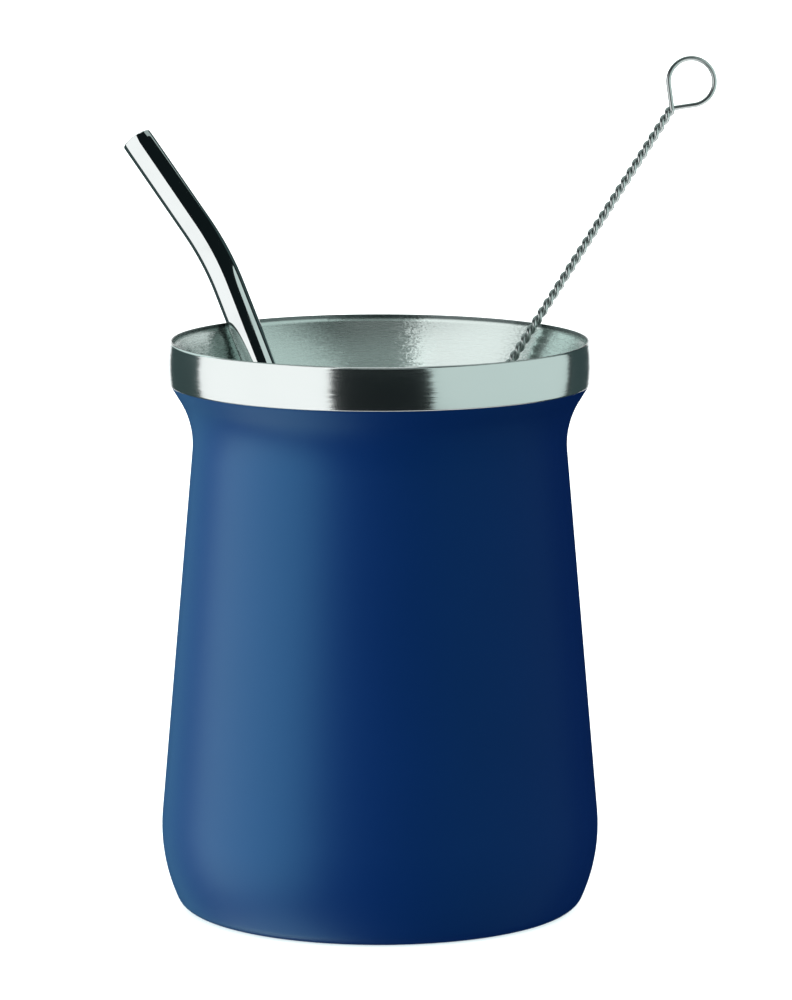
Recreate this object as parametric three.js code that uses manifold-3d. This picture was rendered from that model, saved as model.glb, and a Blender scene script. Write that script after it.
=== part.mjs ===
// An insulated steel mate cup with a bent steel straw and a twisted-wire cleaning brush
// standing in it. Millimetres, +Z up, origin at the centre of the cup's flat base.
import * as THREE from 'three';
import { mergeVertices } from 'three/addons/utils/BufferGeometryUtils.js';
import Module from 'manifold-3d';

const wasm = await Module();
wasm.setup();

// Cup wall: a belly, a straight taper and a waist that flares out under the rim band
const BELLY_RADIUS = 40.5;
const BELLY_HEIGHT = 15;
const BELLY_ARC = 32;
const FOOT_CORNER = 3.3;
const TAPER = THREE.MathUtils.degToRad(4.97);
const WAIST_START = 85.1;
const WAIST_ARC = 15.7;
const FLARE = THREE.MathUtils.degToRad(31.5);

// Inside, a longer and softer neck curve that starts lower and turns to the same flare
const NECK_START = 76.9;
const NECK_ARC = 41;
const NECK_TOP = 104.05;

// How far each layer of the wall lies inside the coated surface, and the floors
const SHELL_WALL = 1.5;
const SEAM_GAP = 0.3;
const CUP_WALL = 4;
const CUP_FLOOR = 4;
const HIDDEN_CORNER = 3;
const CUP_FLOOR_CORNER = 6;

// Rim band with its thin lip, rounded more to the outside than to the inside
const BAND_BOTTOM = 97.75;
const BAND_RADIUS = 39;
const BAND_BULGE_HEIGHT = 100.9;
const BAND_BULGE_ARC = 30;
const BAND_EDGE_ROUND = 0.5;
const LIP_OUTER_ROUND = 0.45;
const LIP_INNER_ROUND = 0.15;
const CUP_HEIGHT = 105.56;
const MOUTH_ARC = 1.6;

// Straw: a tube with a bend of its own above the rim
const STRAW_RADIUS = 3;
const STRAW_BORE_RADIUS = 2.5;
const STRAW_FOOT = new THREE.Vector3(15.8, -18.45, 5.95);
const STRAW_ELBOW = new THREE.Vector3(-30.73, 28.08, 117.97);
const STRAW_TIP = new THREE.Vector3(-46.05, 36.88, 139.09);
const STRAW_BEND_RADIUS = 60;

// Brush: a wire doubled into a loop, its two ends twisted into a stem with a bristle head
const WIRE_RADIUS = 0.45;
const TWIST_PITCH = 3.9;
const BRUSH_LOW_END = new THREE.Vector3(-31.6, 2.96, 12);
const BRUSH_KNOT = new THREE.Vector3(54.99, 31.1, 145.77);
const LOOP_RADIUS = 4.4;
const LOOP_REACH = 6.28;
const LOOP_LEAN = THREE.MathUtils.degToRad(4.3);
const BRISTLE_RADIUS = 3.9;
const BRISTLE_BORE = 1.15;
const BRISTLE_LENGTH = 42;
const BRISTLE_TAPER = 3;

// Facets
const TURN_STEPS = 44;
const STRAW_SIDES = 12;
const STRAW_STEPS = 20;
const TWIST_STEPS_PER_TURN = 6;
const WIRE_SIDES = 6;
const LOOP_STEPS = 24;
const BRISTLE_SIDES = 12;

const COAT = { color: 0x123264, roughness: 0.45, metalness: 0.0 };
const BRUSHED = { color: 0xc3cbc9, roughness: 0.3, metalness: 1.0 };
const POLISHED = { color: 0xd6dcda, roughness: 0.08, metalness: 1.0 };
const WIRE = { color: 0xb4bdbb, roughness: 0.22, metalness: 1.0 };
const BRISTLE = { color: 0xe4e6e3, roughness: 0.6, metalness: 0.0 };

// Points on an arc in the profile plane, from one angle to another, both ends included
function arcPoints(centre, radius, from, to, steps) {
  const points = [];
  for (let i = 0; i <= steps; i += 1) {
    const angle = THREE.MathUtils.lerp(from, to, i / steps);
    const x = centre.x + radius * Math.cos(angle);
    const y = centre.y + radius * Math.sin(angle);
    points.push(new THREE.Vector2(x, y));
  }
  return points;
}

// The cup wall's outline at a depth inside the coated surface, from the floor up to a height
// on the flare. All layers share the centre of the belly arc, and the outer ones that of the
// waist arc too.
function wallOutline({
  inset,
  floor,
  corner,
  top,
  steps,
  waistStart = WAIST_START,
  waistArc = WAIST_ARC,
}) {
  const bellyCentre = new THREE.Vector2(BELLY_RADIUS - BELLY_ARC, BELLY_HEIGHT);
  const bellyArc = BELLY_ARC - inset;
  const cornerHeight = floor + corner;
  const reach = Math.sqrt((bellyArc - corner) ** 2 - (cornerHeight - BELLY_HEIGHT) ** 2);
  const cornerCentre = new THREE.Vector2(bellyCentre.x + reach, cornerHeight);
  const meet = Math.atan2(cornerHeight - BELLY_HEIGHT, reach);

  const taperFoot = BELLY_HEIGHT + BELLY_ARC * Math.sin(TAPER);
  const taperDrop = Math.tan(TAPER) * (waistStart - taperFoot);
  const waistStartRadius = bellyCentre.x + BELLY_ARC * Math.cos(TAPER) - taperDrop;
  const waistCentre = new THREE.Vector2(
    waistStartRadius + waistArc * Math.cos(TAPER),
    waistStart + waistArc * Math.sin(TAPER),
  );
  const waistFrom = Math.PI + TAPER;
  const waistTo = Math.PI - FLARE;

  const outline = [
    ...arcPoints(cornerCentre, corner, -Math.PI / 2, meet, steps.corner),
    ...arcPoints(bellyCentre, bellyArc, meet, TAPER, steps.belly).slice(1),
    ...arcPoints(waistCentre, waistArc + inset, waistFrom, waistTo, steps.waist),
  ];
  const flareStart = outline[outline.length - 1];
  const flareRun = Math.tan(FLARE) * (top - flareStart.y);
  outline.push(new THREE.Vector2(flareStart.x + flareRun, top));
  return outline;
}

function turned(profile) {
  return new THREE.LatheGeometry(profile, TURN_STEPS).rotateX(Math.PI / 2);
}

function outerShell() {
  const top = BAND_BOTTOM - SEAM_GAP;
  const outside = wallOutline({
    inset: 0,
    floor: 0,
    corner: FOOT_CORNER,
    top,
    steps: { corner: 3, belly: 5, waist: 6 },
  });
  const inside = wallOutline({
    inset: SHELL_WALL,
    floor: SHELL_WALL,
    corner: HIDDEN_CORNER,
    top,
    steps: { corner: 2, belly: 2, waist: 3 },
  });
  return turned([
    new THREE.Vector2(0, 0),
    ...outside,
    ...inside.reverse(),
    new THREE.Vector2(0, SHELL_WALL),
  ]);
}

// The band from its underside round the lip to where the cup's inner wall begins
function rimOutline() {
  const bulgeCentre = new THREE.Vector2(BAND_RADIUS - BAND_BULGE_ARC, BAND_BULGE_HEIGHT);
  const lipHeight = CUP_HEIGHT - LIP_OUTER_ROUND;
  const edgeHeight = BAND_BOTTOM + BAND_EDGE_ROUND;
  const lipAngle = Math.asin((lipHeight - BAND_BULGE_HEIGHT) / BAND_BULGE_ARC);
  const edgeAngle = Math.asin((edgeHeight - BAND_BULGE_HEIGHT) / BAND_BULGE_ARC);
  const bulge = arcPoints(bulgeCentre, BAND_BULGE_ARC, edgeAngle, lipAngle, 3);
  const edgeCentre = new THREE.Vector2(bulge[0].x - BAND_EDGE_ROUND, edgeHeight);
  const crestRadius = bulge[3].x - LIP_OUTER_ROUND;
  const outerCentre = new THREE.Vector2(crestRadius, lipHeight);
  const innerCentre = new THREE.Vector2(crestRadius, CUP_HEIGHT - LIP_INNER_ROUND);
  return [
    ...arcPoints(edgeCentre, BAND_EDGE_ROUND, -Math.PI / 2, 0, 2),
    ...bulge.slice(1),
    ...arcPoints(outerCentre, LIP_OUTER_ROUND, 0, Math.PI / 2, 3).slice(1),
    ...arcPoints(innerCentre, LIP_INNER_ROUND, Math.PI / 2, Math.PI, 2).slice(1),
  ];
}

// The mouth's inner wall leaves the lip upright and turns on to the flare below it
function mouthOutline(mouthRadius, flareEnd) {
  const centreRadius = mouthRadius - MOUTH_ARC;
  const turnRadius = centreRadius + MOUTH_ARC * Math.cos(FLARE);
  const turnHeight = flareEnd.y + (turnRadius - flareEnd.x) / Math.tan(FLARE);
  const centre = new THREE.Vector2(centreRadius, turnHeight + MOUTH_ARC * Math.sin(FLARE));
  return arcPoints(centre, MOUTH_ARC, 0, -FLARE, 3);
}

function innerVessel() {
  const underside = SHELL_WALL + SEAM_GAP;
  const outside = wallOutline({
    inset: underside,
    floor: underside,
    corner: HIDDEN_CORNER,
    top: BAND_BOTTOM,
    steps: { corner: 2, belly: 2, waist: 3 },
  });
  const rim = rimOutline();
  const inside = wallOutline({
    inset: CUP_WALL,
    floor: CUP_FLOOR,
    corner: CUP_FLOOR_CORNER,
    top: NECK_TOP,
    waistStart: NECK_START,
    waistArc: NECK_ARC,
    steps: { corner: 3, belly: 3, waist: 5 },
  });
  const flareEnd = inside[inside.length - 1];
  const mouth = mouthOutline(rim[rim.length - 1].x, flareEnd);
  return turned([
    new THREE.Vector2(0, underside),
    ...outside,
    ...rim,
    ...mouth,
    ...inside.slice(0, -1).reverse(),
    new THREE.Vector2(0, CUP_FLOOR),
  ]);
}

// Two straight runs joined by an arc that touches both
function bentPath(foot, elbow, tip, radius) {
  const lower = elbow.clone().sub(foot).normalize();
  const upper = tip.clone().sub(elbow).normalize();
  const turn = lower.angleTo(upper);
  const tangent = radius * Math.tan(turn / 2);
  const start = elbow.clone().addScaledVector(lower, -tangent);
  const end = elbow.clone().addScaledVector(upper, tangent);
  const path = new THREE.CurvePath();
  path.add(new THREE.LineCurve3(foot, start));
  path.add(new THREE.QuadraticBezierCurve3(start, elbow, end));
  path.add(new THREE.LineCurve3(end, tip));
  return path;
}

function strawTube() {
  const ring = new THREE.Shape();
  ring.absarc(0, 0, STRAW_RADIUS, 0, 2 * Math.PI);
  const bore = new THREE.Path();
  bore.absarc(0, 0, STRAW_BORE_RADIUS, 0, 2 * Math.PI, true);
  ring.holes.push(bore);
  return new THREE.ExtrudeGeometry(ring, {
    extrudePath: bentPath(STRAW_FOOT, STRAW_ELBOW, STRAW_TIP, STRAW_BEND_RADIUS),
    steps: STRAW_STEPS,
    curveSegments: STRAW_SIDES / 2,
    bevelEnabled: false,
  });
}

// A six-point section across two wires that lie side by side
function doubledWireShape() {
  const reach = 2 * WIRE_RADIUS;
  const shoulder = 1.25 * WIRE_RADIUS;
  const shape = new THREE.Shape();
  shape.moveTo(reach, 0);
  shape.lineTo(shoulder, WIRE_RADIUS);
  shape.lineTo(-shoulder, WIRE_RADIUS);
  shape.lineTo(-reach, 0);
  shape.lineTo(-shoulder, -WIRE_RADIUS);
  shape.lineTo(shoulder, -WIRE_RADIUS);
  shape.closePath();
  return shape;
}

// The stem along +Z, turned evenly about its axis as a right-handed screw
function twistedStem(length) {
  const geometry = new THREE.ExtrudeGeometry(doubledWireShape(), {
    depth: length,
    steps: Math.round((TWIST_STEPS_PER_TURN * length) / TWIST_PITCH),
    bevelEnabled: false,
  });
  const position = geometry.getAttribute('position');
  const axis = new THREE.Vector3(0, 0, 1);
  const point = new THREE.Vector3();
  for (let i = 0; i < position.count; i += 1) {
    point.fromBufferAttribute(position, i);
    point.applyAxisAngle(axis, (2 * Math.PI * point.z) / TWIST_PITCH);
    position.setXYZ(i, point.x, point.y, point.z);
  }
  return geometry;
}

// A drop-shaped loop in the XZ plane: a round with two straight legs that meet at the knot
class LoopCurve extends THREE.CurvePath {
  constructor(knotHeight) {
    super();
    const half = Math.acos(LOOP_RADIUS / LOOP_REACH);
    const centreHeight = knotHeight + LOOP_REACH;
    const around = (angle) => new THREE.Vector3(
      LOOP_RADIUS * Math.sin(angle),
      0,
      centreHeight - LOOP_RADIUS * Math.cos(angle),
    );
    const knot = new THREE.Vector3(0, 0, knotHeight);
    const round = new THREE.Curve();
    round.getPoint = (t) => around(half + t * 2 * (Math.PI - half));
    this.add(new THREE.LineCurve3(knot, around(half)));
    this.add(round);
    this.add(new THREE.LineCurve3(around(-half), knot));
  }
}

function solidOf(geometry) {
  const bare = geometry.clone();
  bare.deleteAttribute('normal');
  bare.deleteAttribute('uv');
  const merged = mergeVertices(bare, 1e-4);
  return new wasm.Manifold(new wasm.Mesh({
    numProp: 3,
    vertProperties: merged.getAttribute('position').array,
    triVerts: Uint32Array.from(merged.index.array),
  }));
}

function geometryOf(solid) {
  const mesh = solid.getMesh();
  const geometry = new THREE.BufferGeometry();
  geometry.setAttribute('position', new THREE.BufferAttribute(mesh.vertProperties, 3));
  geometry.setIndex(new THREE.BufferAttribute(mesh.triVerts, 1));
  return geometry;
}

// Loop and stem are one wire, so they are joined into one solid along +Z. The loop leans a
// little about the knot. The real stem is a left-handed screw, so the turned stem is
// mirrored first.
function brushWire(length) {
  const section = new THREE.Shape();
  section.absarc(0, 0, WIRE_RADIUS, 0, 2 * Math.PI);
  const loop = new THREE.ExtrudeGeometry(section, {
    extrudePath: new LoopCurve(length - WIRE_RADIUS),
    steps: LOOP_STEPS,
    curveSegments: WIRE_SIDES / 2,
    bevelEnabled: false,
  });
  const knotHeight = length - WIRE_RADIUS;
  loop.translate(0, 0, -knotHeight).rotateY(LOOP_LEAN).translate(0, 0, knotHeight);
  const stem = solidOf(twistedStem(length)).mirror([1, 0, 0]);
  return geometryOf(stem.add(solidOf(loop)));
}

// The bristle head's outer form: a sleeve round the stem's low end with tapered ends
function bristleHead() {
  const taperRadius = BRISTLE_RADIUS - BRISTLE_TAPER / 2;
  const profile = [
    new THREE.Vector2(BRISTLE_BORE, 0),
    new THREE.Vector2(taperRadius, 0),
    new THREE.Vector2(BRISTLE_RADIUS, BRISTLE_TAPER),
    new THREE.Vector2(BRISTLE_RADIUS, BRISTLE_LENGTH - BRISTLE_TAPER),
    new THREE.Vector2(taperRadius, BRISTLE_LENGTH),
    new THREE.Vector2(BRISTLE_BORE, BRISTLE_LENGTH),
    new THREE.Vector2(BRISTLE_BORE, 0),
  ];
  return new THREE.LatheGeometry(profile, BRISTLE_SIDES).rotateX(Math.PI / 2);
}

function part(name, geometry, finish) {
  const mesh = new THREE.Mesh(geometry, new THREE.MeshStandardMaterial(finish));
  mesh.name = name;
  return mesh;
}

function cup() {
  const group = new THREE.Group();
  group.add(part('coated_outer_shell', outerShell(), COAT));
  group.add(part('steel_inner_vessel_with_rim', innerVessel(), BRUSHED));
  return group;
}

// The brush is made upright, then leaned so that its stem runs from the low end to the knot
function brush() {
  const stem = BRUSH_KNOT.clone().sub(BRUSH_LOW_END);
  const group = new THREE.Group();
  group.add(part('brush_wire_with_loop', brushWire(stem.length()), WIRE));
  group.add(part('brush_bristle_head', bristleHead(), BRISTLE));

  const up = stem.clone().normalize();
  const towardsBack = new THREE.Vector3(0, 1, 0);
  const side = new THREE.Vector3().crossVectors(towardsBack, up).normalize();
  const depth = new THREE.Vector3().crossVectors(up, side);
  group.setRotationFromMatrix(new THREE.Matrix4().makeBasis(side, depth, up));
  group.position.copy(BRUSH_LOW_END);
  return group;
}

const mateCup = new THREE.Group();
mateCup.name = 'mate_cup_with_straw_and_brush';
mateCup.add(cup());
mateCup.add(part('bent_steel_straw', strawTube(), POLISHED));
mateCup.add(brush());

export default mateCup;
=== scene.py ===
"""Looks of an insulated steel mate cup with a bent straw and a cleaning brush."""

import math

import bpy
import numpy as np
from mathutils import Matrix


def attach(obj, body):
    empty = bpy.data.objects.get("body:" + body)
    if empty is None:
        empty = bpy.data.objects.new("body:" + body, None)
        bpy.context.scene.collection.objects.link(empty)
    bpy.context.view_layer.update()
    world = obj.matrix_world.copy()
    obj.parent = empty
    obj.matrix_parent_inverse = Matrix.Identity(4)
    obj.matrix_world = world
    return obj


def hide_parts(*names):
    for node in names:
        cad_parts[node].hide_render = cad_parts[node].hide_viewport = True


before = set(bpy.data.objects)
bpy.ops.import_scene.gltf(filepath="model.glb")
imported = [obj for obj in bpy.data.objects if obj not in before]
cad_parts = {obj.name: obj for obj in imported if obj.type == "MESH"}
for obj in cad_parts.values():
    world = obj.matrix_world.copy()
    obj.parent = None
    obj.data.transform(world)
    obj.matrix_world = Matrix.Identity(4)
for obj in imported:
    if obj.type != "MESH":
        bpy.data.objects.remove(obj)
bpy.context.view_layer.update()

MM = 0.001

# Cup wall: a belly, a straight taper and a waist that flares out under the rim band
BELLY_RADIUS = 40.5 * MM
BELLY_HEIGHT = 15 * MM
BELLY_ARC = 32 * MM
FOOT_CORNER = 3.3 * MM
TAPER = math.radians(4.97)
WAIST_START = 85.1 * MM
WAIST_ARC = 15.7 * MM
FLARE = math.radians(31.5)

# Inside, a longer and softer neck curve that starts lower and turns to the same flare
NECK_START = 76.9 * MM
NECK_ARC = 41 * MM
NECK_TOP = 104.05 * MM

# How far each layer of the wall lies inside the coated surface, and the floors
SHELL_WALL = 1.5 * MM
SEAM_GAP = 0.3 * MM
CUP_WALL = 4 * MM
CUP_FLOOR = 4 * MM
HIDDEN_CORNER = 3 * MM
CUP_FLOOR_CORNER = 6 * MM

# Rim band with its thin lip, rounded more to the outside than to the inside. The coat runs up to the band
# and ends in a small round
BAND_BOTTOM = 97.6 * MM
BAND_RADIUS = 39 * MM
BAND_BULGE_HEIGHT = 100.9 * MM
BAND_BULGE_ARC = 30 * MM
BAND_EDGE_ROUND = 0.3 * MM
LIP_OUTER_ROUND = 0.45 * MM
LIP_INNER_ROUND = 0.15 * MM
CUP_HEIGHT = 105.56 * MM
MOUTH_ARC = 1.6 * MM
COAT_TOP = 97.56 * MM
COAT_EDGE_ROUND = 0.12 * MM

# Straw: a tube with a bend of its own above the rim
STRAW_RADIUS = 3 * MM
STRAW_BORE_RADIUS = 2.5 * MM
STRAW_FOOT = np.array((15.8, -18.45, 5.95)) * MM
STRAW_ELBOW = np.array((-30.73, 28.08, 117.97)) * MM
STRAW_TIP = np.array((-46.05, 36.88, 139.09)) * MM
STRAW_BEND_RADIUS = 60 * MM

# Brush: one wire doubled into a loop, its two halves twisted into a stem with bristles
WIRE_RADIUS = 0.45 * MM
TWIST_PITCH = 3.9 * MM
BRUSH_LOW_END = np.array((-31.6, 2.96, 12)) * MM
BRUSH_KNOT = np.array((54.99, 31.1, 145.77)) * MM
LOOP_RADIUS = 4.4 * MM
LOOP_REACH = 6.28 * MM
LOOP_LEAN = math.radians(4.3)
KNOT_SPAN = 2.2 * MM
BRISTLE_RADIUS = 3.9 * MM
BRISTLE_LENGTH = 42 * MM
BRISTLE_TAPER = 3 * MM
BRISTLE_THICKNESS = 0.055 * MM
BRISTLE_COUNT = 2200
BRISTLE_MARGIN = 0.3 * MM

# Chance in the bristles: its seed, and the usual spread in height, angle, rise and length
BRISTLE_SEED = 11
BRISTLE_SHIFT = 0.05 * MM
BRISTLE_FAN = math.radians(13)
BRISTLE_RISE = 0.035
BRISTLE_SHARE = 0.985
BRISTLE_SHARE_SPREAD = 0.012

# Where a bristle's rings lie, as a share of its reach to either side, and how thick each is
BRISTLE_STATIONS = (-1, -0.99, -0.35, 0.35, 0.99, 1)
BRISTLE_FULLNESS = (0, 1, 1, 1, 1, 0)

# How finely the surfaces are divided
CUP_COLUMNS = 288
WALL_STEPS = 12
HIDDEN_WALL_STEPS = 4
BASE_STEPS = 10
HIDDEN_BASE_STEPS = 3
CUP_FLOOR_STEPS = 12
BULGE_STEPS = 16
EDGE_STEPS = 6
LIP_OUTER_STEPS = 12
LIP_INNER_STEPS = 8
MOUTH_STEPS = 12
STRAW_COLUMNS = 64
STRAW_STEPS = 110
STRAW_END_STEPS = 10
WIRE_COLUMNS = 14
WIRE_ROWS_PER_TURN = 24
LOOP_STEPS = 72
LEG_STEPS = 14
NOSE_STEPS = 5
BRISTLE_COLUMNS = 4


def unit(vector):
    """The vector, or each row of an array of vectors, divided by its own length."""
    return vector / np.linalg.norm(vector, axis=-1, keepdims=True)


def arc(centre, radius, start, end, steps):
    """Points centre + radius * (cos angle, sin angle), with the angle in equal steps from start to end."""
    angle = np.linspace(start, end, steps + 1)
    return np.asarray(centre) + radius * np.column_stack((np.cos(angle), np.sin(angle)))


def line(start, end, steps):
    """Points in equal steps from start to end, without the two ends."""
    share = np.linspace(0, 1, steps + 1)[1:-1, None]
    return np.asarray(start) * (1 - share) + np.asarray(end) * share


def smooth_piece(name, points, faces):
    """An object at the origin with a smooth-shaded mesh of these points and faces."""
    mesh = bpy.data.meshes.new(name)
    mesh.from_pydata(points.tolist(), [], faces)
    mesh.polygons.foreach_set("use_smooth", np.ones(len(mesh.polygons), bool))
    piece = bpy.data.objects.new(name, mesh)
    bpy.context.scene.collection.objects.link(piece)
    return piece


def skin(name, grid, closed_lengthwise=False):
    """A closed mesh over a grid of points, rows by columns, that wraps round from its last column to its
    first. Lengthwise it either wraps as well, or its first and last rows are drawn together to one point
    each."""
    rows, columns = grid.shape[:2]
    number = np.arange(rows * columns).reshape(rows, columns)
    points = grid.reshape(-1, 3)
    beside = np.roll(number, -1, axis=1)
    if closed_lengthwise:
        above = np.roll(number, -1, axis=0)
        above_beside = np.roll(above, -1, axis=1)
        quads = np.stack((number, beside, above_beside, above), axis=-1).reshape(-1, 4)
        faces = quads.tolist()
    else:
        body = slice(1, rows - 2)
        next_body = slice(2, rows - 1)
        corners = (number[body], beside[body], beside[next_body], number[next_body])
        quads = np.stack(corners, axis=-1).reshape(-1, 4)
        first = np.stack((np.full(columns, 0), beside[1], number[1]), axis=-1)
        last = np.stack((number[-2], beside[-2], np.full(columns, number[-1, 0])), axis=-1)
        kept = np.r_[0, np.arange(columns, (rows - 1) * columns), number[-1, 0]]
        renumber = np.zeros(rows * columns, int)
        renumber[kept] = np.arange(len(kept))
        points = points[kept]
        faces = [*renumber[quads].tolist(), *renumber[first].tolist(), *renumber[last].tolist()]
    return smooth_piece(name, points, faces)


def turned(name, profile):
    """A body of revolution about Z: each profile point (radius, height) gives the circle
    (radius * cos a, radius * sin a, height)."""
    angle = np.linspace(0, 2 * np.pi, CUP_COLUMNS, endpoint=False)
    radius, height = profile[:, :1], profile[:, 1:]
    grid = np.stack((radius * np.cos(angle), radius * np.sin(angle), height + 0 * angle), axis=-1)
    return skin(name, grid)


def around_path(centres, tangents, radii, across, columns):
    """Rings round a path: centre + radius * (cos a * n + sin a * b). Of the vector across, n is what stands
    square to the tangent, and b is tangent x n."""
    lean = (tangents @ across)[:, None]
    normal = unit(across - lean * tangents)
    second = np.cross(tangents, normal)
    angle = np.linspace(0, 2 * np.pi, columns, endpoint=False)[:, None]
    ring = np.cos(angle) * normal[:, None] + np.sin(angle) * second[:, None]
    return centres[:, None] + np.asarray(radii)[:, None, None] * ring


# The cup

def wall_outline(inset, floor, corner, top, steps, waist_start=WAIST_START, waist_arc=WAIST_ARC):
    """The wall at a depth inside the coated surface: a corner arc that touches the floor and the belly arc,
    the belly arc up to the taper's angle, a straight taper, the waist arc and a straight flare up to a
    height."""
    belly_centre = np.array((BELLY_RADIUS - BELLY_ARC, BELLY_HEIGHT))
    belly_arc = BELLY_ARC - inset
    corner_height = floor + corner
    reach = math.sqrt((belly_arc - corner) ** 2 - (corner_height - BELLY_HEIGHT) ** 2)
    corner_centre = np.array((belly_centre[0] + reach, corner_height))
    meet = math.atan2(corner_height - BELLY_HEIGHT, reach)
    taper_foot = BELLY_HEIGHT + BELLY_ARC * math.sin(TAPER)
    taper_drop = math.tan(TAPER) * (waist_start - taper_foot)
    waist_start_radius = belly_centre[0] + BELLY_ARC * math.cos(TAPER) - taper_drop
    waist_centre = np.array((
        waist_start_radius + waist_arc * math.cos(TAPER),
        waist_start + waist_arc * math.sin(TAPER),
    ))
    corner_points = arc(corner_centre, corner, -math.pi / 2, meet, steps)
    belly = arc(belly_centre, belly_arc, meet, TAPER, 2 * steps)[1:]
    waist = arc(waist_centre, waist_arc + inset, math.pi + TAPER, math.pi - FLARE, 2 * steps)
    flare_end = waist[-1] + (top - waist[-1, 1]) * np.array((math.tan(FLARE), 1))
    taper = line(belly[-1], waist[0], 3 * steps)
    flare = line(waist[-1], flare_end, steps // 2)
    return np.vstack((corner_points, belly, taper, waist, flare, flare_end))


def coat_profile():
    """The coated shell: the base, the outside of the wall, a small round at the top edge and the hidden
    inside."""
    outside = wall_outline(0, 0, FOOT_CORNER, COAT_TOP - COAT_EDGE_ROUND, WALL_STEPS)
    inside = wall_outline(SHELL_WALL, SHELL_WALL, HIDDEN_CORNER, COAT_TOP, HIDDEN_WALL_STEPS)
    edge_centre = outside[-1] - COAT_EDGE_ROUND * np.array((math.cos(FLARE), -math.sin(FLARE)))
    edge = arc(edge_centre, COAT_EDGE_ROUND, -FLARE, math.pi / 2, EDGE_STEPS)[1:]
    base = line((0, 0), outside[0], BASE_STEPS)
    hidden_base = line(inside[0], (0, SHELL_WALL), HIDDEN_BASE_STEPS)
    return np.vstack(((0, 0), base, outside, edge, inside[::-1], hidden_base, (0, SHELL_WALL)))


def rim_outline():
    """The band and lip: a small round at the lower edge, the bulged band as one long arc, then a larger and
    a smaller quarter circle that meet on top."""
    bulge_centre = np.array((BAND_RADIUS - BAND_BULGE_ARC, BAND_BULGE_HEIGHT))
    lip_height = CUP_HEIGHT - LIP_OUTER_ROUND
    edge_height = BAND_BOTTOM + BAND_EDGE_ROUND
    lip_angle = math.asin((lip_height - BAND_BULGE_HEIGHT) / BAND_BULGE_ARC)
    edge_angle = math.asin((edge_height - BAND_BULGE_HEIGHT) / BAND_BULGE_ARC)
    bulge = arc(bulge_centre, BAND_BULGE_ARC, edge_angle, lip_angle, BULGE_STEPS)
    edge_centre = bulge[0] - np.array((BAND_EDGE_ROUND, 0))
    crest_radius = bulge[-1, 0] - LIP_OUTER_ROUND
    edge = arc(edge_centre, BAND_EDGE_ROUND, -math.pi / 2, 0, EDGE_STEPS)[:-1]
    lip = arc((crest_radius, lip_height), LIP_OUTER_ROUND, 0, math.pi / 2, LIP_OUTER_STEPS)[1:]
    inner_centre = (crest_radius, CUP_HEIGHT - LIP_INNER_ROUND)
    inner_lip = arc(inner_centre, LIP_INNER_ROUND, math.pi / 2, math.pi, LIP_INNER_STEPS)[1:]
    return np.vstack((edge, bulge, lip, inner_lip))


def mouth_outline(mouth_radius, flare_end):
    """From the lip's upright inner side, an arc that turns on to the flare below it."""
    centre_radius = mouth_radius - MOUTH_ARC
    turn_radius = centre_radius + MOUTH_ARC * math.cos(FLARE)
    turn_height = flare_end[1] + (turn_radius - flare_end[0]) / math.tan(FLARE)
    centre = (centre_radius, turn_height + MOUTH_ARC * math.sin(FLARE))
    return arc(centre, MOUTH_ARC, 0, -FLARE, MOUTH_STEPS)[1:]


def vessel_profile():
    """The steel vessel: its hidden outside, the band, the lip, the mouth, the inner wall and the inner
    floor."""
    underside = SHELL_WALL + SEAM_GAP
    outside = wall_outline(underside, underside, HIDDEN_CORNER, BAND_BOTTOM, HIDDEN_WALL_STEPS)
    rim = rim_outline()
    inner_sizes = (CUP_WALL, CUP_FLOOR, CUP_FLOOR_CORNER, NECK_TOP)
    inside = wall_outline(*inner_sizes, WALL_STEPS, NECK_START, NECK_ARC)
    mouth = mouth_outline(rim[-1, 0], inside[-1])
    hidden_base = line((0, underside), outside[0], HIDDEN_BASE_STEPS)
    inner_floor = line(inside[0], (0, CUP_FLOOR), CUP_FLOOR_STEPS)
    start = (0, underside)
    end = (0, CUP_FLOOR)
    return np.vstack((start, hidden_base, outside, rim, mouth, inside[-2::-1], inner_floor, end))


# The straw

def bent_path(distance):
    """Points and tangents at distances along the straw: two straight runs joined by an arc that touches
    both."""
    lower = unit(STRAW_ELBOW - STRAW_FOOT)
    upper = unit(STRAW_TIP - STRAW_ELBOW)
    turn = math.acos(lower @ upper)
    touch = STRAW_BEND_RADIUS * math.tan(turn / 2)
    first = np.linalg.norm(STRAW_ELBOW - STRAW_FOOT) - touch
    inward = unit(upper - (upper @ lower) * lower)
    bent = np.clip((distance - first) / STRAW_BEND_RADIUS, 0, turn)[:, None]
    tangent = np.cos(bent) * lower + np.sin(bent) * inward
    on_arc = STRAW_BEND_RADIUS * (np.sin(bent) * lower + (1 - np.cos(bent)) * inward)
    before = np.minimum(distance, first)[:, None] * lower
    after = np.maximum(distance - first - STRAW_BEND_RADIUS * turn, 0)[:, None] * upper
    return STRAW_FOOT + before + on_arc + after, tangent


def straw_length():
    """The two straight runs and the arc."""
    turn = math.acos(unit(STRAW_ELBOW - STRAW_FOOT) @ unit(STRAW_TIP - STRAW_ELBOW))
    straight = np.linalg.norm(STRAW_ELBOW - STRAW_FOOT) + np.linalg.norm(STRAW_TIP - STRAW_ELBOW)
    return straight + STRAW_BEND_RADIUS * (turn - 2 * math.tan(turn / 2))


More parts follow.
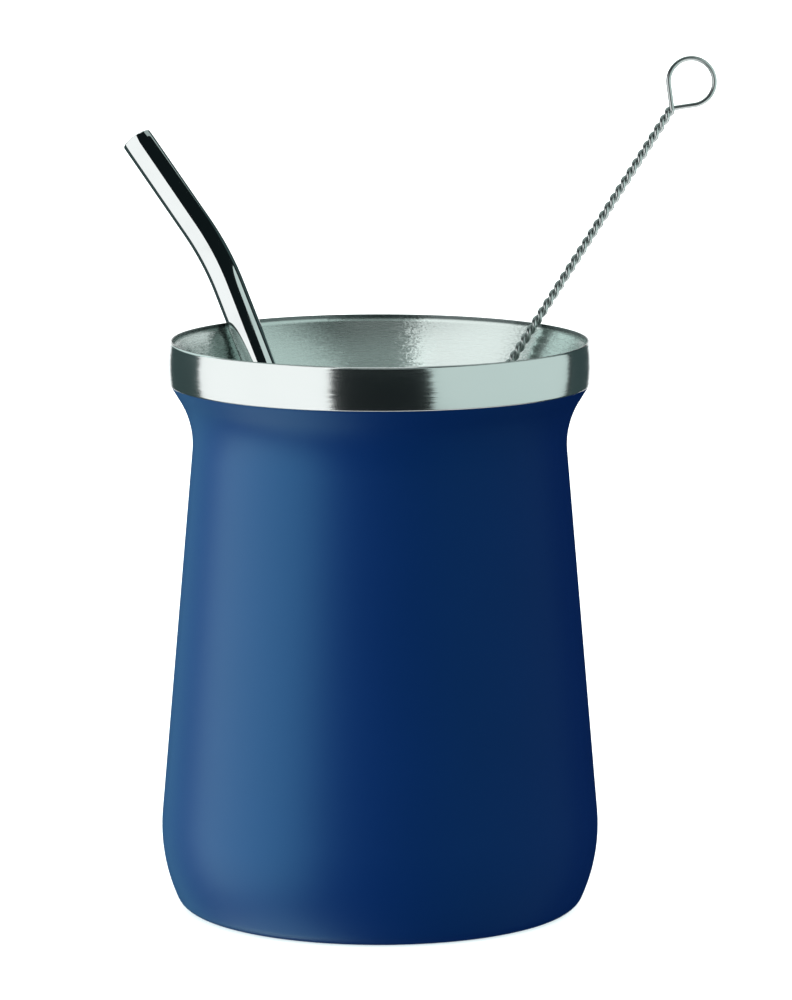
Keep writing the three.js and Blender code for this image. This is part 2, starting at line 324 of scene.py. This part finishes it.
def straw():
    """The straw's wall is carried along the path as a closed outline: up the outside, over the rounded tip,
    down the bore and round the foot. Its points are (radius, distance along the path)."""
    length = straw_length()
    round_off = (STRAW_RADIUS - STRAW_BORE_RADIUS) / 2
    middle = (STRAW_RADIUS + STRAW_BORE_RADIUS) / 2
    tip = arc((middle, length - round_off), round_off, 0, math.pi, STRAW_END_STEPS)
    foot = arc((middle, round_off), round_off, math.pi, 2 * math.pi, STRAW_END_STEPS)
    up = line(foot[-1], tip[0], STRAW_STEPS)
    down = line(tip[-1], foot[0], STRAW_STEPS)
    outline = np.vstack((tip, down, foot, up))
    centres, tangents = bent_path(outline[:, 1])
    across = unit(np.cross(STRAW_ELBOW - STRAW_FOOT, STRAW_TIP - STRAW_ELBOW))
    grid = around_path(centres, tangents, outline[:, 0], across, STRAW_COLUMNS)
    return skin("straw_tube", grid, closed_lengthwise=True)


# The brush

def brush_axes():
    """The brush's own directions as rows: side, depth and up. Up runs along the stem, and the loop lies in
    the plane of side and up."""
    up = unit(BRUSH_KNOT - BRUSH_LOW_END)
    side = unit(np.cross((0, 1, 0), up))
    return np.array((side, np.cross(up, side), up))


def from_brush(points):
    """Points in the brush's own directions, as places in the frame."""
    return BRUSH_LOW_END + points @ brush_axes()


def stem_length():
    """From the brush's low end to the knot."""
    return np.linalg.norm(BRUSH_KNOT - BRUSH_LOW_END)


def strand_angle(height):
    """A left-handed screw: the angle falls by a full turn each pitch. Over the last stretch below the knot
    it falls faster, until the strand crosses the stem as steeply as the loop's leg leaves it."""
    knot = stem_length() - WIRE_RADIUS
    rate = 2 * math.pi / TWIST_PITCH
    leg_slope = LOOP_RADIUS / math.sqrt(LOOP_REACH ** 2 - LOOP_RADIUS ** 2)
    knot_rate = leg_slope / WIRE_RADIUS
    nearness = np.clip(1 + (height - knot) / KNOT_SPAN, 0, 1)
    gained = (knot_rate - rate) * KNOT_SPAN * (1 - nearness ** 2) / 2
    gained = np.where(nearness > 0, gained, (knot_rate - rate) * KNOT_SPAN / 2)
    return -math.pi / 2 + rate * (knot - height) + gained


def strand(height, turned_by):
    """A strand lies one wire radius off the stem's axis, at its angle."""
    angle = strand_angle(height) + turned_by
    return np.column_stack((WIRE_RADIUS * np.cos(angle), WIRE_RADIUS * np.sin(angle), height))


def wire_path():
    """The one wire: up the first strand, along one leg, round the loop, back along the other leg and down
    the second strand. Over the loop it passes smoothly from the front of the stem to its back, and the loop
    leans a little about the knot."""
    knot = stem_length() - WIRE_RADIUS
    height = np.linspace(0, knot, int(WIRE_ROWS_PER_TURN * knot / TWIST_PITCH))
    half = math.acos(LOOP_RADIUS / LOOP_REACH)
    centre = (0, knot + LOOP_REACH)
    round_part = arc(centre, LOOP_RADIUS, -math.pi / 2 - half, -2.5 * math.pi + half, LOOP_STEPS)
    first_leg = line((0, knot), round_part[0], LEG_STEPS)
    second_leg = line(round_part[-1], (0, knot), LEG_STEPS)
    flat = np.vstack((first_leg, round_part, second_leg)) - (0, knot)
    across = flat[:, 0] * math.cos(LOOP_LEAN) + flat[:, 1] * math.sin(LOOP_LEAN)
    above = flat[:, 1] * math.cos(LOOP_LEAN) - flat[:, 0] * math.sin(LOOP_LEAN)
    share = np.linspace(0, 1, len(flat))
    depth = WIRE_RADIUS * (2 * share * share * (3 - 2 * share) - 1)
    loop = np.column_stack((across, depth, knot + above))
    return np.vstack((strand(height, 0), loop, strand(height[::-1], math.pi)))


def brush_wire():
    """A round tube along the wire's path, with a rounded nose at each end."""
    path = wire_path()
    nose = np.linspace(0, math.pi / 2, NOSE_STEPS + 1)[:-1, None]
    start = path[0] - unit(path[1] - path[0]) * WIRE_RADIUS * np.cos(nose)
    end = path[-1] + unit(path[-1] - path[-2]) * WIRE_RADIUS * np.cos(nose[::-1])
    centres = from_brush(np.vstack((start, path, end)))
    narrowing = WIRE_RADIUS * np.sin(nose[:, 0])
    radii = np.concatenate((narrowing, np.full(len(path), WIRE_RADIUS), narrowing[::-1]))
    tangents = unit(np.gradient(centres, axis=0))
    grid = around_path(centres, tangents, radii, brush_axes()[1], WIRE_COLUMNS)
    return skin("brush_wire", grid)


def bristles():
    """Straight filaments through the stem, held between the two strands, so that they fan out in a double
    screw. Each runs from one side to the other, square to the strands, with a little chance in its angle,
    its rise and its length. The outer form narrows at both ends of the head."""
    chance = np.random.default_rng(BRISTLE_SEED)
    height = np.linspace(BRISTLE_MARGIN, BRISTLE_LENGTH - BRISTLE_MARGIN, BRISTLE_COUNT)
    height = height + chance.normal(0, BRISTLE_SHIFT, BRISTLE_COUNT)
    fan = chance.normal(0, BRISTLE_FAN, BRISTLE_COUNT)
    angle = strand_angle(height) + math.pi / 2 + fan
    rise = chance.normal(0, BRISTLE_RISE, BRISTLE_COUNT)
    to_end = np.minimum(height, BRISTLE_LENGTH - height)
    narrowing = np.clip(1 - to_end / BRISTLE_TAPER, 0, 1) * BRISTLE_TAPER / 2
    share = chance.normal(BRISTLE_SHARE, BRISTLE_SHARE_SPREAD, BRISTLE_COUNT)
    reach = (BRISTLE_RADIUS - narrowing) * share
    level = np.zeros(BRISTLE_COUNT)
    along = unit(np.column_stack((np.cos(angle), np.sin(angle), rise)))
    across = np.column_stack((-np.sin(angle), np.cos(angle), level))
    over = np.cross(along, across)

    stations = np.array(BRISTLE_STATIONS)
    thickness = np.array(BRISTLE_FULLNESS) * BRISTLE_THICKNESS
    round_angle = np.linspace(0, 2 * np.pi, BRISTLE_COLUMNS, endpoint=False)
    middle = reach[:, None, None] * stations[:, None] * along[:, None]
    middle[..., 2] += height[:, None]
    ring = np.cos(round_angle)[:, None] * across[:, None]
    ring = ring + np.sin(round_angle)[:, None] * over[:, None]
    grids = middle[:, :, None] + thickness[:, None, None] * ring[:, None]
    return filaments("brush_bristles", from_brush(grids))


def filaments(name, grids):
    """Many thin closed tubes as one mesh. Each grid has its two end rows drawn together to a point."""
    count, rows, columns = grids.shape[:3]
    inner = grids[:, 1:-1].reshape(count, -1, 3)
    points = np.concatenate((grids[:, :1, 0], inner, grids[:, -1:, 0]), axis=1)
    each = points.shape[1]
    number = 1 + np.arange((rows - 2) * columns).reshape(rows - 2, columns)
    beside = np.roll(number, -1, axis=1)
    quads = np.stack((number[:-1], beside[:-1], beside[1:], number[1:]), axis=-1).reshape(-1, 4)
    first = np.stack((np.zeros(columns, int), beside[0], number[0]), axis=-1)
    last = np.stack((number[-1], beside[-1], np.full(columns, each - 1)), axis=-1)
    start = each * np.arange(count)[:, None, None]
    faces = [
        *(start + quads).reshape(-1, 4).tolist(),
        *(start + first).reshape(-1, 3).tolist(),
        *(start + last).reshape(-1, 3).tolist(),
    ]
    return smooth_piece(name, points.reshape(-1, 3), faces)


# Shader tools

class Value:
    """A shader socket that takes part in sums as a number does. Each sum adds its own Math node."""

    def __init__(self, nodes, socket):
        self.nodes = nodes
        self.socket = socket

    def of(self, output):
        """Another output of the same node."""
        return Value(self.nodes, self.socket.node.outputs[output])

    def math(self, operation, first, second):
        """A Math node on two values, of which this is one."""
        return self.nodes.add("ShaderNodeMath", {"operation": operation}, {0: first, 1: second})

    def __add__(self, other):
        return self.math("ADD", self, other)

    def __radd__(self, other):
        return self.math("ADD", other, self)

    def __sub__(self, other):
        return self.math("SUBTRACT", self, other)

    def __rsub__(self, other):
        return self.math("SUBTRACT", other, self)

    def __mul__(self, other):
        return self.math("MULTIPLY", self, other)

    def __rmul__(self, other):
        return self.math("MULTIPLY", other, self)

    def __truediv__(self, other):
        return self.math("DIVIDE", self, other)

    def __rtruediv__(self, other):
        return self.math("DIVIDE", other, self)

    def __pow__(self, other):
        return self.math("POWER", self, other)


class Nodes:
    """The nodes of a material or of the world."""

    def __init__(self, owner):
        owner.use_nodes = True
        self.tree = owner.node_tree
        self.tree.nodes.clear()

    def add(self, kind, settings=None, sockets=None, output=0):
        """A node of a kind, its settings made first, then its sockets given values or links."""
        node = self.tree.nodes.new(kind)
        for name, value in (settings or {}).items():
            setattr(node, name, value)
        for name, value in (sockets or {}).items():
            if isinstance(value, Value):
                self.tree.links.new(value.socket, node.inputs[name])
            else:
                node.inputs[name].default_value = value
        return Value(self, node.outputs[output]) if node.outputs else None

    def noise(self, place, scale, detail=2.0, roughness=0.5):
        """Even noise from 0 to 1 at a place."""
        sockets = {"Vector": place, "Scale": scale, "Detail": detail, "Roughness": roughness}
        return self.add("ShaderNodeTexNoise", None, sockets)

    def mix(self, share, first, second):
        """A colour between two colours."""
        settings = {"data_type": "RGBA"}
        return self.add("ShaderNodeMix", settings, {0: share, 6: first, 7: second}, output=2)

    def ramp(self, value, low, high):
        """0 below low, 1 above high and a smooth step between them."""
        settings = {"interpolation_type": "SMOOTHSTEP"}
        sockets = {"Value": value, "From Min": low, "From Max": high}
        return self.add("ShaderNodeMapRange", settings, sockets)

    def vector(self, operation, first, second):
        """A vector from two others."""
        return self.add("ShaderNodeVectorMath", {"operation": operation}, {0: first, 1: second})

    def scaled(self, vector, factor):
        """A vector times a number."""
        return self.add("ShaderNodeVectorMath", {"operation": "SCALE"}, {0: vector, "Scale": factor})

    def combine(self, x, y, z):
        """A vector from three numbers."""
        return self.add("ShaderNodeCombineXYZ", None, {"X": x, "Y": y, "Z": z})


def finish(name, build):
    """A material whose nodes build adds. It returns the sockets of the Principled shader."""
    material = bpy.data.materials.new(name)
    nodes = Nodes(material)
    shader = nodes.add("ShaderNodeBsdfPrincipled", None, build(nodes))
    nodes.add("ShaderNodeOutputMaterial", None, {"Surface": shader})
    return material


def object_place(nodes):
    """The place in the frame."""
    return nodes.add("ShaderNodeTexCoord", output="Object")


def round_the_axis(nodes):
    """The place as seen from the cup's axis: direction x and y, distance from the axis, and height."""
    place = nodes.add("ShaderNodeSeparateXYZ", None, {"Vector": object_place(nodes)})
    x, y, z = place.of("X"), place.of("Y"), place.of("Z")
    distance = (x * x + y * y) ** 0.5
    return x / distance, y / distance, distance, z


# Finishes

COAT_TONES = ((0.0008, 0.0136, 0.096, 1), (0.0012, 0.0158, 0.109, 1))
COAT_SHEEN = (0.26, 0.66, 1.0, 1)
OUTER_STEEL_TONES = ((0.70, 0.745, 0.735, 1), (0.745, 0.785, 0.775, 1))
INNER_STEEL_TONE = (0.665, 0.745, 0.72, 1)
# Painted shade for the inner edge under the lip
LIP_SHADE_TONE = (0.20, 0.23, 0.23, 1)
MIRROR_TONES = ((0.74, 0.775, 0.77, 1), (0.70, 0.735, 0.73, 1))
WIRE_TONES = ((0.60, 0.65, 0.64, 1), (0.72, 0.76, 0.75, 1))
NYLON_TONES = ((0.70, 0.72, 0.70, 1), (0.86, 0.87, 0.85, 1))

# Painted shade: the base colour of the inner edge under the lip darkens between these heights
LIP_SHADE_START = CUP_HEIGHT - 0.9 * MM
LIP_SHADE_END = CUP_HEIGHT - 0.5 * MM

# How far the brushed surface leans sideways with each kind of mark
FINE_LEAN = 0.06
LINE_LEAN = 0.04
GRAIN_LEAN = 0.30


def satin_coat(nodes):
    """A navy powder coat: a very fine pebbled skin, a faint drift of tone and an even satin sheen."""
    place = object_place(nodes)
    drift = nodes.noise(place, 45, 3)
    pebbles = nodes.noise(place, 2600, 3, 0.6)
    peel = nodes.noise(place, 700, 2)
    height = pebbles * 0.6 + peel
    bumps = {"Strength": 0.35, "Distance": 0.02 * MM, "Height": height}
    return {
        "Base Color": nodes.mix(drift, *COAT_TONES),
        "Roughness": 0.40 + 0.05 * pebbles,
        "Specular IOR Level": 0.5,
        "Specular Tint": COAT_SHEEN,
        "Normal": nodes.add("ShaderNodeBump", None, bumps),
    }


def brushed_steel(nodes):
    """Bare steel brushed round the cup: fine lines in height and distance from the axis, drawn out
    sideways. Each line has its own slight lean, which makes the edges of reflections grainy. The inside is
    a little rougher and grainier. Its edge under the lip has painted shade, a darker base colour in a thin
    band."""
    out_x, out_y, distance, height = round_the_axis(nodes)
    level = height + distance
    lines = nodes.noise(nodes.combine(out_x * 5, out_y * 5, level * 4200), 1, 3, 0.6)
    fine = nodes.noise(nodes.combine(out_x * 14, out_y * 14, level * 9500), 1, 2, 0.6)
    clouds = nodes.noise(object_place(nodes), 60, 3)
    surface = nodes.add("ShaderNodeNewGeometry", output="Normal")
    facing_out = nodes.vector("DOT_PRODUCT", surface, nodes.combine(out_x, out_y, 0.0)).of("Value")
    inside = 1 - nodes.ramp(facing_out, -0.1, 0.1)
    grain = nodes.noise(object_place(nodes), 2600, 2, 0.6)
    speckle = inside * (grain - 0.5) * GRAIN_LEAN
    around = nodes.combine(-1 * out_y, out_x, 0.0)
    lean = nodes.scaled(around, (fine - 0.5) * FINE_LEAN + (lines - 0.5) * LINE_LEAN + speckle)
    leaned = nodes.vector("ADD", surface, lean)
    bumps = {"Strength": 0.2, "Distance": 0.01 * MM, "Height": lines, "Normal": leaned}
    outer_tone = nodes.mix(clouds, *OUTER_STEEL_TONES)
    tone = nodes.mix(inside, outer_tone, INNER_STEEL_TONE)
    # Painted shade: a dark base colour in a thin band on the inner edge under the lip
    edge = inside * nodes.ramp(height, LIP_SHADE_START, LIP_SHADE_END)
    return {
        "Base Color": nodes.mix(edge, tone, LIP_SHADE_TONE),
        "Metallic": 1.0,
        "Roughness": 0.15 + 0.06 * lines + 0.09 * inside,
        "Anisotropic": 0.8,
        "Anisotropic Rotation": 0.25,
        "Normal": nodes.add("ShaderNodeBump", None, bumps),
    }


def polished_steel(nodes):
    """Mirror steel with faint smudges and a barely uneven surface."""
    place = object_place(nodes)
    smudges = nodes.ramp(nodes.noise(place, 130, 4, 0.6), 0.45, 0.75)
    waves = nodes.noise(place, 90, 2)
    bumps = {"Strength": 0.25, "Distance": 0.03 * MM, "Height": waves}
    return {
        "Base Color": nodes.mix(smudges, *MIRROR_TONES),
        "Metallic": 1.0,
        "Roughness": 0.035 + 0.05 * smudges,
        "Normal": nodes.add("ShaderNodeBump", None, bumps),
    }


def drawn_wire(nodes):
    """Bright drawn steel wire, slightly dulled in patches."""
    place = object_place(nodes)
    patches = nodes.noise(place, 500, 3)
    scuffs = nodes.noise(place, 4000, 2)
    bumps = {"Strength": 0.15, "Distance": 0.01 * MM, "Height": scuffs}
    return {
        "Base Color": nodes.mix(patches, *WIRE_TONES),
        "Metallic": 1.0,
        "Roughness": 0.24 + 0.10 * patches,
        "Normal": nodes.add("ShaderNodeBump", None, bumps),
    }


def nylon(nodes):
    """White nylon filaments, a little uneven in tone."""
    tone = nodes.noise(object_place(nodes), 900, 2)
    return {
        "Base Color": nodes.mix(tone, *NYLON_TONES),
        "Roughness": 0.42 + 0.1 * tone,
    }


# The stage

FLOOR_REACH = 6.0
FLOOR_COLOUR = (0.86, 0.89, 0.88, 1)
ROOM_COLOUR = (0.006, 0.010, 0.011, 1)
CAMERA_DISTANCE = 1050 * MM
CAMERA_PITCH = math.radians(8.909)
CAMERA_AIM = np.array((2.969, 0, 75.764)) * MM
CAMERA_LENS = 204.98
CAMERA_SENSOR = 36

# The lights aim at the cup's mouth. Most stand at one distance from it, and some are tinted
LIGHT_AIM = np.array((0, 0, 90)) * MM
LIGHT_DISTANCE = 0.9
UNDER_DISTANCE = 0.5
LEFT_CENTRE = np.array((-0.2565, -0.0776, 0.20))
LEFT_FACING = (-60.4, 0)
WHITE = (1, 1, 1)
SCREEN_TINT = (0.66, 0.78, 0.755)
GAP_TINT = (0.62, 1.0, 1.0)
SHEEN_TINT = (0.80, 1.0, 0.86)
LEFT_EDGE_TINT = (0.4, 1.0, 0.9)
RIGHT_SHEEN_TINT = (0.5, 0.9, 1.0)
SIDE_TINT = (0.3, 0.9, 1.0)
GLOW_TINT = (0.92, 1.0, 0.985)

# Radiant power of an area light per square metre and unit of brightness
AREA_LIGHT_FACTOR = math.pi


def camera():
    """The camera at the photo's viewing angle."""
    data = bpy.data.cameras.new("photo_camera")
    data.sensor_width = CAMERA_SENSOR
    data.lens = CAMERA_LENS
    data.clip_start = 0.05
    data.clip_end = 50
    back = np.array((0, -math.cos(CAMERA_PITCH), math.sin(CAMERA_PITCH)))
    made = bpy.data.objects.new("photo_camera", data)
    made.location = CAMERA_AIM + CAMERA_DISTANCE * back
    made.rotation_euler = (math.pi / 2 - CAMERA_PITCH, 0, 0)
    bpy.context.scene.collection.objects.link(made)
    bpy.context.scene.camera = made


def floor():
    """A plain pale floor that meets the white surroundings, out of sight of every reflection."""
    corners = FLOOR_REACH * np.array(((-1, -1, 0), (1, -1, 0), (1, 1, 0), (-1, 1, 0)))
    made = smooth_piece("floor", corners, [(0, 1, 2, 3)])
    made.visible_glossy = False
    made.visible_diffuse = False
    made.visible_shadow = False
    made.data.materials.append(finish("pale_floor", lambda nodes: {
        "Base Color": FLOOR_COLOUR,
        "Roughness": 0.9,
        "Specular IOR Level": 0.0,
    }))
    return made


def lit_only(light, receivers):
    """Let a light reach only some pieces."""
    group = bpy.data.collections.new(light.name + "_receivers")
    for piece in receivers:
        group.objects.link(piece)
    light.light_linking.receiver_collection = group


def placed(azimuth, elevation, distance=LIGHT_DISTANCE):
    """A place round the cup's mouth. Azimuth 0 is the camera's side and grows to the right, in degrees."""
    turn, lift = math.radians(azimuth), math.radians(elevation)
    out = (math.sin(turn) * math.cos(lift), -math.cos(turn) * math.cos(lift), math.sin(lift))
    return LIGHT_AIM + distance * np.array(out)


def panel(name, centre, size, radiance, receivers, colour=WHITE, facing=None):
    """A flat soft light at a place, aimed at the cup's mouth or along its own azimuth and elevation."""
    out = unit(centre - LIGHT_AIM)
    turn, lift = math.atan2(out[0], -out[1]), math.asin(out[2])
    if facing:
        turn, lift = math.radians(facing[0]), math.radians(facing[1])
    data = bpy.data.lights.new(name, "AREA")
    data.shape = "RECTANGLE"
    data.size, data.size_y = size
    data.color = colour
    data.energy = radiance * AREA_LIGHT_FACTOR * size[0] * size[1]
    made = bpy.data.objects.new(name, data)
    made.location = centre
    made.rotation_euler = (math.pi / 2 - lift, 0, turn)
    made.visible_camera = False
    bpy.context.scene.collection.objects.link(made)
    lit_only(made, receivers)


def sky_light(name, azimuth, spread, strength, receivers, colour=WHITE):
    """Even light from a cone, from straight above or from the horizon at an azimuth. It makes no gloss."""
    data = bpy.data.lights.new(name, "SUN")
    data.angle = math.radians(spread)
    data.color = colour
    data.energy = strength
    made = bpy.data.objects.new(name, data)
    if azimuth is not None:
        made.rotation_euler = (math.pi / 2, 0, math.radians(azimuth))
    made.visible_camera = False
    made.visible_glossy = False
    bpy.context.scene.collection.objects.link(made)
    lit_only(made, receivers)
    return made


def surroundings():
    """A dark room. What the camera sees directly is white all round."""
    world = bpy.data.worlds.new("studio")
    bpy.context.scene.world = world
    nodes = Nodes(world)
    seen = nodes.add("ShaderNodeLightPath", output="Is Camera Ray")
    shade = nodes.mix(seen, ROOM_COLOUR, (*WHITE, 1))
    light = nodes.add("ShaderNodeBackground", None, {"Color": shade})
    nodes.add("ShaderNodeOutputWorld", None, {"Surface": light})


bpy.context.scene.view_settings.view_transform = "Standard"
camera()

coat = turned("coat_shell", coat_profile())
vessel = turned("rim_and_vessel", vessel_profile())
straw_tube = straw()
wire = brush_wire()
bristle_head = bristles()

parts = (
    (coat, "satin_coat", satin_coat, "coated_outer_shell", "coat"),
    (vessel, "brushed_steel", brushed_steel, "steel_inner_vessel_with_rim", "brushed_steel"),
    (straw_tube, "polished_steel", polished_steel, "bent_steel_straw", "polished_steel"),
    (wire, "drawn_wire", drawn_wire, "brush_wire_with_loop", "wire"),
    (bristle_head, "nylon", nylon, "brush_bristle_head", "bristle"),
)
for piece, finish_name, build, node, slot in parts:
    piece.data.materials.append(finish(finish_name, build))
    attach(piece, "root")
    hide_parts(node)

ground = floor()
surroundings()

# The screens of the studio, placed after the reflections in the photo. Each reaches only some of the pieces
polished = (vessel, straw_tube, bristle_head)
steel = (*polished, wire)
panel("left_panel", LEFT_CENTRE, (0.495, 0.74), 1.18, polished, facing=LEFT_FACING)
panel("right_panel", placed(74.75, 8), (1.96, 1.5), 0.98, (vessel, wire, bristle_head), SCREEN_TINT)
panel("straw_right_panel", placed(66, 8), (1.6, 1.4), 0.98, (straw_tube,), SCREEN_TINT)
panel("front_panel", placed(-3, 36), (0.8, 0.4), 0.55, (vessel,), SCREEN_TINT)
panel("wire_left_panel", placed(-62, 0), (1.2, 0.9), 1.1, (wire,))
panel("wire_top_panel", placed(180, 62), (1.8, 1.5), 0.45, (wire,), SCREEN_TINT)
panel("back_panel", placed(180, -4), (0.80, 0.5), 1.2, (vessel,))
panel("back_left_panel", placed(-137, 24), (0.75, 0.45), 1.05, (vessel,), SCREEN_TINT)
panel("straw_back_panel", placed(180, 8), (0.56, 0.9), 1.2, (straw_tube,))
panel("back_top_panel", placed(180, 62), (1.3, 0.8), 0.6, polished, SCREEN_TINT)
panel("left_gap", placed(-137, 0), (0.8, 1.3), 0.06, steel, GAP_TINT)
panel("right_gap", placed(143, 0), (0.6, 1.3), 0.06, steel, GAP_TINT)
panel("under_light", placed(0, -89, UNDER_DISTANCE), (0.9, 0.9), 0.9, (vessel, straw_tube))
panel("wire_under_light", placed(0, -80, UNDER_DISTANCE), (1.5, 1.5), 0.95, (wire,))
panel("top_light", placed(0, 89), (0.36, 0.36), 1.3, polished)

# The sheen and the even tone of the coat, and the two lights of the floor, the second without shadows
panel("coat_left", placed(-73.3, 14), (1.49, 2.0), 3.5, (coat,), SHEEN_TINT)
panel("coat_under_light", placed(-88, -60), (0.8, 0.5), 2.6, (coat,), SHEEN_TINT)
panel("coat_left_edge", placed(-140, 4), (0.5, 2.4), 0.6, (coat,), LEFT_EDGE_TINT)
panel("coat_right", placed(75, 4), (1.6, 2.6), 0.2, (coat,), RIGHT_SHEEN_TINT)
sky_light("coat_side", 90, 180, 2.0, (coat,), SIDE_TINT)
sky_light("coat_top", None, 180, 0.9, (coat,))
sky_light("floor_sky", None, 170, 4.5, (ground,))
floor_glow = sky_light("floor_glow", None, 20, 2.3, (ground,), GLOW_TINT)
floor_glow.light_linking.blocker_collection = floor_glow.light_linking.receiver_collection
